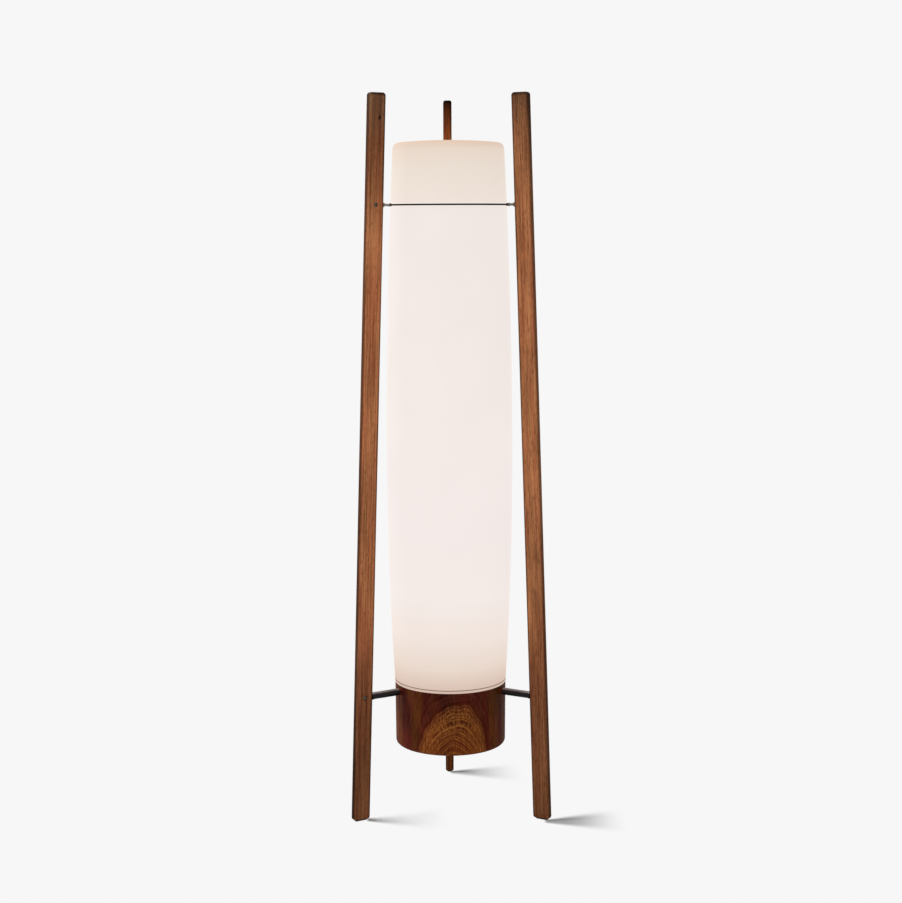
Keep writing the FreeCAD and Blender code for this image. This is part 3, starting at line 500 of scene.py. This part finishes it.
def build_ring_group():
    """Growth rings round the origin. Place is in metres, and Rings is how many there are in a metre."""
    tree, inputs, outputs = new_group(
        "growth_rings",
        {"Place": "Vector", "Rings": "Float", "Wobble": "Float"},
        {"Distance": "Float", "Ring": "Float", "Fine": "Float"},
    )
    bent = inputs["Place"]
    for scale, share in BENDS.items():
        bends = add_node(tree, "ShaderNodeTexNoise", {"Vector": inputs["Place"], "Scale": scale,
                                                      "Detail": 2.0, "Roughness": 0.4}).outputs["Color"]
        centred = vector_maths(tree, "SUBTRACT", bends, (0.5, 0.5, 0.5))
        scaled = add_node(tree, "ShaderNodeVectorMath", {0: centred}, operation="SCALE")
        plug(tree, maths(tree, "MULTIPLY", inputs["Wobble"], share), scaled.inputs["Scale"])
        bent = vector_maths(tree, "ADD", bent, scaled.outputs["Vector"])
    distance = vector_maths(tree, "LENGTH", bent)
    years = add_node(tree, "ShaderNodeTexNoise", {"W": distance, "Scale": YEARS_SCALE, "Detail": 2.0},
                     noise_dimensions="1D").outputs["Fac"]
    turns = maths(tree, "ADD", maths(tree, "MULTIPLY", distance, inputs["Rings"]),
                  maths(tree, "MULTIPLY", years, YEARS_SHIFT))

    def wave(frequency):
        """A wave from nought to one over the rings."""
        swing = maths(tree, "SINE", maths(tree, "MULTIPLY", turns, frequency * 2 * math.pi))
        return map_range(tree, swing, -1.0, 1.0)

    plug(tree, distance, outputs["Distance"])
    plug(tree, wave(1.0), outputs["Ring"])
    plug(tree, wave(FINE_PER_RING), outputs["Fine"])
    return tree


growth_rings = build_ring_group()
print("growth_rings has", len(growth_rings.nodes), "nodes")

# %% [markdown]
# Under the ring lines lies the ground. It is red-brown with olive streaks at the cup's sides, brown
# inside the arches, and has a golden mottle in the band between. The wood is a little darker under the
# rim. The lines themselves are pale gold inside the arches and dull rose outside, and the fibres of the
# wood break them up.

# %% The cup's ground
CUP_RED = (0.062, 0.0072, 0.0036)
CUP_BROWN = (0.105, 0.021, 0.0045)
CUP_OLIVE = (0.085, 0.024, 0.0035)
CUP_GOLD = (0.32, 0.115, 0.026)
MIDDLE = [(0.078, 1), (0.094, 0)]
MOTTLED_BAND = [(0.056, 0), (0.068, 1), (0.083, 1), (0.092, 0)]
RIM_SHADE = (150 * MM, 210 * MM, 1.0, 0.74)
PER_TENTH_METRE = 10.0


def build_cup_ground(tree, coordinates, place, upright, distance):
    """The colour of the turned wood without its ring lines."""
    parts = split(tree, coordinates)
    tenths_aside = maths(tree, "ABSOLUTE", maths(tree, "MULTIPLY", parts["X"], PER_TENTH_METRE))
    aside = ramp(tree, tenths_aside, [(0.3, 0.25), (0.62, 1)])
    streaked = ramp(tree, noise(tree, upright, 75.0, 2.0, 0.5), [(0.42, 0), (0.58, 1)])
    sides = mix(tree, maths(tree, "MULTIPLY", streaked, aside), CUP_RED, CUP_OLIVE)
    ground = mix(tree, ramp(tree, distance, MIDDLE), sides, CUP_BROWN)

    patches = noise(tree, stretched(tree, coordinates, (1, 1, 0.6), (3.1, 0.4, 0)), 26.0, 2.0, 0.5)
    patched = ramp(tree, patches, [(0.32, 0.6), (0.68, 1.3)])
    ground = shaded(tree, ground, patched, map_range(tree, parts["Z"], *RIM_SHADE))

    mottle = ramp(tree, noise(tree, place, 260.0, 4.0, 0.65), [(0.44, 0), (0.64, 0.5)])
    golden = maths(tree, "MULTIPLY", mottle, ramp(tree, distance, MOTTLED_BAND))
    return mix(tree, golden, ground, CUP_GOLD)


# %% The cup's material
ARCH_CENTRE = (4 * MM, -94 * MM, 50 * MM)
ARCH_LEAN = -0.14
ARCH_STRETCH = (1.0, 2.6, 0.62)
CUP_ROSE = (0.2, 0.06, 0.04)
LINE_STRENGTHS = [(0.0, 0.45), (0.05, 0.5), (0.064, 0.8), (0.084, 0.72), (0.095, 0.34), (0.14, 0.3),
                  (0.3, 0.2)]
LINE_COLOURS = [(0.084, CUP_GOLD), (0.096, CUP_ROSE)]


def build_cup_material():
    material, tree, principled = new_material("walnut_turned", IOR=1.48, Specular_IOR_Level=0.02)
    coordinates = object_space(tree)
    leaning = rotated(tree, vector_maths(tree, "SUBTRACT", coordinates, ARCH_CENTRE), "Y", ARCH_LEAN)
    place = vector_maths(tree, "MULTIPLY", leaning, ARCH_STRETCH)
    rings = use_group(tree, growth_rings, Place=place, Rings=215.0, Wobble=0.02)
    distance = rings["Distance"]
    upright = stretched(tree, coordinates, (1, 1, 0.1))
    fibre = noise(tree, upright, 620.0, 3.0, 0.6)

    line = ramp(tree, rings["Ring"], [(0.7, 0), (0.97, 1)])
    fine_line = ramp(tree, rings["Fine"], [(0.6, 0), (1.0, 0.5)])
    strong = maths(tree, "MULTIPLY", maths(tree, "MAXIMUM", line, fine_line),
                   ramp(tree, distance, LINE_STRENGTHS))
    drawn = maths(tree, "MULTIPLY", strong, ramp(tree, fibre, [(0.36, 0.35), (0.6, 1)]))

    ground = build_cup_ground(tree, coordinates, place, upright, distance)
    ringed = mix(tree, drawn, ground, ramp(tree, distance, LINE_COLOURS))
    fibred = shaded(tree, ringed, ramp(tree, fibre, [(0.35, 0.75), (0.65, 1.15)]))
    plug(tree, fibred, principled.inputs["Base Color"])
    plug(tree, ramp(tree, fibre, [(0.3, 0.58), (0.7, 0.46)]), principled.inputs["Roughness"])
    bump(tree, principled, fibre, 0.2, 0.2 * MM)
    return material


dress(build_cup_material(), "base_cup", "rod_collars")

# %% [markdown]
# ## The opal shade
#
# The shade is a shell of opal acrylic that is lit from inside, so it looks almost evenly bright from one
# side to the other. Nearly all of what is seen is therefore its own glow, and very little is room light.
# It turns a little darker and warmer towards its foot and towards its top, where the light column inside
# ends. A colour ramp up the shade's height gives both. The narrow groove above its lip is painted dark,
# a painted shade line.

# %% The shade's material
SHADE_TONES = [
    (218 * MM, (0.66, 0.49, 0.4)),
    (226 * MM, (0.71, 0.55, 0.465)),
    (258 * MM, (0.82, 0.69, 0.605)),
    (308 * MM, (0.885, 0.78, 0.72)),
    (373 * MM, (0.9, 0.82, 0.785)),
    (480 * MM, (0.9, 0.825, 0.8)),
    (1000 * MM, (0.885, 0.81, 0.775)),
    (1019 * MM, (0.88, 0.8, 0.76)),
    (1028 * MM, (0.865, 0.765, 0.695)),
    (1079 * MM, (0.83, 0.735, 0.65)),
    (1110 * MM, (0.815, 0.69, 0.59)),
    (1120 * MM, (0.77, 0.6, 0.48)),
    (1127 * MM, (0.72, 0.5, 0.36)),
]
GLOW_STRENGTH = 0.96
ROOM_LIGHT_SHARE = 0.05
GROOVE_HEIGHT = 222.7 * MM
GROOVE_HALF = 0.7 * MM
GROOVE_PAINTED_SHADE = (0.2, 0.13, 0.1)


def build_shade_material():
    material, tree, principled = new_material("opal_acrylic", Roughness=0.6, IOR=1.49,
                                              Specular_IOR_Level=0.01, Emission_Strength=GLOW_STRENGTH)
    coordinates = object_space(tree)
    height = split(tree, coordinates)["Z"]
    low, high = SHADE_TONES[0][0], SHADE_TONES[-1][0]
    level = map_range(tree, height, low, high)
    tone = ramp(tree, level, [((z - low) / (high - low), colour) for z, colour in SHADE_TONES])
    milky = ramp(tree, noise(tree, coordinates, 9.0, 3.0, 0.5), [(0.3, 0.985), (0.7, 1.01)])
    # Painted shade: the glow is dark in the band of the groove.
    groove_shade_mask = add_node(tree, "ShaderNodeMath", {0: height, 1: GROOVE_HEIGHT, 2: GROOVE_HALF},
                      operation="COMPARE").outputs[0]
    glow = mix(tree, groove_shade_mask, shaded(tree, tone, milky), GROOVE_PAINTED_SHADE)
    plug(tree, glow, principled.inputs["Emission Color"])
    plug(tree, shaded(tree, glow, ROOM_LIGHT_SHARE), principled.inputs["Base Color"])
    return material


dress(build_shade_material(), "shade")

# %% [markdown]
# ## Metals, plastics and felt
#
# The rods and the ring are dark steel, the stubs and screws are brighter steel. Each metal gets a fine
# brushed noise for its roughness, so that a highlight breaks up a little, and a slow one for its colour.
# The rods show a pale line along their upper side. It would be a reflection of the studio, which this
# simpler light doesn't hold, so a painted reflection makes their colour brighter there: a mask by
# height, with a noisy border.

# %% Metal materials
BRUSHED_SCALE = 900.0
WORN_SCALE = 60.0
PAINTED_REFLECTION_SIDE = [(0.8, 0), (0.93, 1)]
PAINTED_REFLECTION_UNEVENNESS = 0.1
PAINTED_REFLECTION_GAIN = 12


def build_metal(name, colour, roughness, stretch=(1, 1, 1), edge=1.0, painted_reflection_between=None):
    """Brushed metal. Where two heights are given, a painted reflection brightens its upper side between
    them.
    """
    material, tree, principled = new_material(name, Metallic=1.0, Specular_Tint=as_colour(edge))
    place = stretched(tree, object_space(tree), stretch)
    brushed = noise(tree, place, BRUSHED_SCALE, 3.0, 0.6)
    worn = noise(tree, place, WORN_SCALE, 3.0, 0.6)
    low, high, painted_reflection_colour = [tuple(c * gain for c in colour) for gain in (0.8, 1.15, PAINTED_REFLECTION_GAIN)]
    toned = ramp(tree, worn, [(0.3, low), (0.7, high)])
    # Painted reflection: the upper side is coloured brighter, where the studio would be mirrored.
    if painted_reflection_between:
        level = map_range(tree, split(tree, place)["Z"], *painted_reflection_between)
        uneven = maths(tree, "MULTIPLY", worn, PAINTED_REFLECTION_UNEVENNESS)
        painted_reflection_mask = ramp(tree, maths(tree, "ADD", level, uneven), PAINTED_REFLECTION_SIDE)
        toned = mix(tree, painted_reflection_mask, toned, painted_reflection_colour)
    plug(tree, toned, principled.inputs["Base Color"])
    plug(tree, ramp(tree, brushed, [(0.3, roughness * 0.8), (0.7, roughness * 1.25)]),
         principled.inputs["Roughness"])
    bump(tree, principled, brushed, 0.15, 0.1 * MM)
    return material


rod_low, rod_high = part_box("rod_left")
dress(build_metal("dark_steel", (0.018, 0.016, 0.016), 0.24, painted_reflection_between=(rod_low[2], rod_high[2])),
      "rod_back", "rod_left", "rod_right")
dress(build_metal("ring_steel", (0.012, 0.009, 0.007), 0.5, edge=0.05), "upper_ring")
dress(build_metal("stub_steel", (0.24, 0.22, 0.205), 0.25), "stub_back", "stub_left", "stub_right")
dress(build_metal("screw_steel", (0.11, 0.09, 0.075), 0.3), "lower_cross_screws", "upper_cross_screws",
      "chassis_screws", "column_foot_screws", "column_set_screw", "driver_screws", "terminal_screw")
dress(build_metal("brass", (0.72, 0.5, 0.2), 0.3), "rod_inserts")
dress(build_metal("aluminium", (0.75, 0.76, 0.77), 0.35, (1, 1, 0.05)), "chassis_plate", "column_foot",
      "led_column")


# %% Plastics, rubber and felt
def build_plain_finish(name, colour, roughness, grain_scale, depth):
    """A moulded or woven finish: a little colour variation, and a fine grain in its bump."""
    material, tree, principled = new_material(name, Roughness=roughness)
    place = object_space(tree)
    low, high = [tuple(c * gain for c in colour) for gain in (0.88, 1.1)]
    toned = ramp(tree, noise(tree, place, 40.0, 2.0), [(0.3, low), (0.7, high)])
    plug(tree, toned, principled.inputs["Base Color"])
    bump(tree, principled, noise(tree, place, grain_scale, 3.0, 0.6), 0.4, depth)
    return material


dress(build_plain_finish("white_plastic", (0.8, 0.8, 0.78), 0.45, 1800.0, 0.1 * MM), "led_driver",
      "terminal_block")
dress(build_plain_finish("black_plastic", (0.03, 0.03, 0.03), 0.5, 1800.0, 0.1 * MM), "column_cap",
      "gland_body", "gland_dome_nut", "gland_locknut")
dress(build_plain_finish("rubber", (0.03, 0.03, 0.03), 0.75, 1200.0, 0.1 * MM), "gland_seal", "lead")
dress(build_plain_finish("felt", (0.05, 0.045, 0.04), 0.95, 2600.0, 0.4 * MM), "foot_pads")

# %% [markdown]
# ## The light strips
#
# Each strip is a white board with a row of small square emitters. The emitters are drawn in the
# material, because they are thinner than the paint: a square mask repeats along the strip's height, and
# drives both their yellow colour and their glow.

# %% The light strips' material
CHIP_PITCH = 10 * MM
CHIP_HALF = 1.4 * MM
CHIP_GLOW = 1.2
CHIP_YELLOW = (0.85, 0.62, 0.16)
CHIP_LIGHT = (1.0, 0.78, 0.5)


def build_strip_material():
    material, tree, principled = new_material("light_strip", Roughness=0.4, Emission_Strength=CHIP_GLOW)
    coordinates = object_space(tree)
    parts = split(tree, coordinates)
    from_middle = [maths(tree, "ABSOLUTE", parts[axis]) for axis in "XY"]
    across = maths(tree, "MINIMUM", *from_middle)
    along = maths(tree, "PINGPONG", parts["Z"], CHIP_PITCH / 2)
    chip = maths(tree, "MULTIPLY", maths(tree, "LESS_THAN", across, CHIP_HALF),
                 maths(tree, "LESS_THAN", along, CHIP_HALF))
    speckle = noise(tree, coordinates, 900.0, 3.0)
    board = ramp(tree, speckle, [(0.3, (0.78, 0.78, 0.75)), (0.7, (0.86, 0.86, 0.83))])
    plug(tree, mix(tree, chip, board, CHIP_YELLOW), principled.inputs["Base Color"])
    plug(tree, mix(tree, chip, 0, CHIP_LIGHT), principled.inputs["Emission Color"])
    return material


dress(build_strip_material(), "led_strip_front", "led_strip_right", "led_strip_back", "led_strip_left")

# %% [markdown]
# ## Floor, backdrop and light
#
# The photograph is a cut-out on a plain pale ground with one short soft shadow to the right of each
# foot. The floor is therefore the plain ground colour nearly everywhere, and is truly lit only in a
# wedge that starts at each foot's front right corner, where it takes the shadow of the board. Only what
# a camera sees is plain: for the light itself the whole floor is an ordinary pale one.

# %% Where a foot's shadow shows
WEDGE_START = (-1 * MM, -9 * MM)
WEDGE_END = (20 * MM, 135 * MM)
WEDGE_HALF = 13 * MM
WEDGE_SPREAD = 0.5
WEDGE_BORDER = (0.3, 1.0)


def front_right_corner(angle):
    """Where a foot stands furthest to the front and right."""
    turn = Matrix.Rotation(math.radians(angle), 3, "Z")
    corners = [turn @ Vector((foot_radius + x * BOARD_WIDTH / 2, y * board_thickness / 2, 0))
               for x in (-1, 1) for y in (-1, 1)]
    return max(corners, key=lambda corner: corner.x - corner.y)


def build_wedge(tree, corner):
    """A mask that is one to the right of a corner of a foot, and fades all round."""
    def faded(value, full, gone):
        return map_range(tree, value, full, gone, 1.0, 0.0, interpolation_type="SMOOTHSTEP")

    away = split(tree, vector_maths(tree, "SUBTRACT", object_space(tree), corner))
    half = maths(tree, "ADD", maths(tree, "MULTIPLY", away["X"], WEDGE_SPREAD), WEDGE_HALF)
    aside = maths(tree, "DIVIDE", maths(tree, "ABSOLUTE", away["Y"]), half)
    lengthwise = maths(tree, "MULTIPLY", faded(away["X"], *WEDGE_START), faded(away["X"], *WEDGE_END))
    return maths(tree, "MULTIPLY", lengthwise, faded(aside, *WEDGE_BORDER))


# %% Floor
GROUND = 0.93
FLOOR_ALBEDO = 0.575
FLOOR_HALF = 9.0


def seen_directly(tree):
    """One where a camera, a mirror or a window looks at a surface, and nought where light does."""
    path = add_node(tree, "ShaderNodeLightPath").outputs
    mirrored = maths(tree, "MAXIMUM", path["Is Glossy Ray"], path["Is Transmission Ray"])
    return maths(tree, "MAXIMUM", path["Is Camera Ray"], mirrored)


def build_floor_material():
    material = bpy.data.materials.new("ground")
    material.use_nodes = True
    tree = material.node_tree
    tree.nodes.clear()
    lit = add_node(tree, "ShaderNodeBsdfDiffuse", {"Color": as_colour(FLOOR_ALBEDO)})
    plain = add_node(tree, "ShaderNodeEmission", {"Color": as_colour(GROUND)})
    wedges = 0.0
    for angle in LEG_ANGLES.values():
        wedges = maths(tree, "ADD", build_wedge(tree, front_right_corner(angle)), wedges)
    factor = maths(tree, "MULTIPLY", maths(tree, "SUBTRACT", 1.0, wedges), seen_directly(tree))
    blend = add_node(tree, "ShaderNodeMixShader", {0: factor, 1: lit.outputs[0], 2: plain.outputs[0]})
    output = tree.nodes.new("ShaderNodeOutputMaterial")
    tree.links.new(blend.outputs[0], output.inputs["Surface"])
    return material


bpy.ops.mesh.primitive_plane_add(size=2 * FLOOR_HALF, location=(0, 0, 0))
floor = bpy.context.active_object
floor.name = "floor"
floor.data.materials.append(build_floor_material())
print("floor", 2 * FLOOR_HALF, "m wide, lit beside", len(LEG_ANGLES), "feet")

# %% [markdown]
# The world is one big soft light that is brightest in front, as in a studio whose lights stand behind
# the camera. Where the camera looks at it, it is the plain ground colour instead. A wide softbox hangs
# high on the left and throws the shadows of the feet.

# %% World
ALL_ROUND = 0.38
FRONT_LOBE = 1.45
BACK_LOBE = 0.4


def squared(tree, value):
    return maths(tree, "MULTIPLY", value, value)


def build_soft_light(tree):
    """The strength of the studio's light in each direction: a lobe each way, and a band all round."""
    direction = split(tree, add_node(tree, "ShaderNodeTexCoord").outputs["Generated"])

    def lobe(facing, amount):
        return maths(tree, "MULTIPLY", squared(tree, maths(tree, "MAXIMUM", facing, 0.0)), amount)

    front = lobe(maths(tree, "MULTIPLY", direction["Y"], -1.0), FRONT_LOBE)
    back = lobe(direction["Y"], BACK_LOBE)
    level = maths(tree, "SUBTRACT", 1.0, squared(tree, direction["Z"]))
    return maths(tree, "ADD", maths(tree, "ADD", front, back), maths(tree, "MULTIPLY", level, ALL_ROUND))


world = bpy.data.worlds.new("studio")
bpy.context.scene.world = world
world.use_nodes = True
sky = world.node_tree
sky.nodes.clear()
strength = add_node(sky, "ShaderNodeMix", {"Factor": seen_directly(sky), "A": build_soft_light(sky),
                                           "B": GROUND}, data_type="FLOAT")
background = add_node(sky, "ShaderNodeBackground", {"Color": as_colour(1),
                                                    "Strength": strength.outputs["Result"]})
sky.links.new(background.outputs[0], sky.nodes.new("ShaderNodeOutputWorld").inputs["Surface"])
print("world has", len(sky.nodes), "nodes")

# %% Softbox
KEY_PLACE = Vector((-1.3, 0.35, 2.3))
KEY_WIDTH = 1.5
KEY_POWER = 100.0

key_light = bpy.data.lights.new("key_left", "AREA")
key_light.size = KEY_WIDTH
key_light.energy = KEY_POWER
key = bpy.data.objects.new("key_left", key_light)
bpy.context.scene.collection.objects.link(key)
key.location = KEY_PLACE
key.rotation_euler = (-KEY_PLACE).to_track_quat("-Z", "Y").to_euler()
print("softbox", KEY_WIDTH, "m wide,", round(KEY_PLACE.length, 2), "m from the lamp's foot")

# %% Colour management
bpy.context.scene.view_settings.view_transform = "Standard"
print("view transform", bpy.context.scene.view_settings.view_transform)
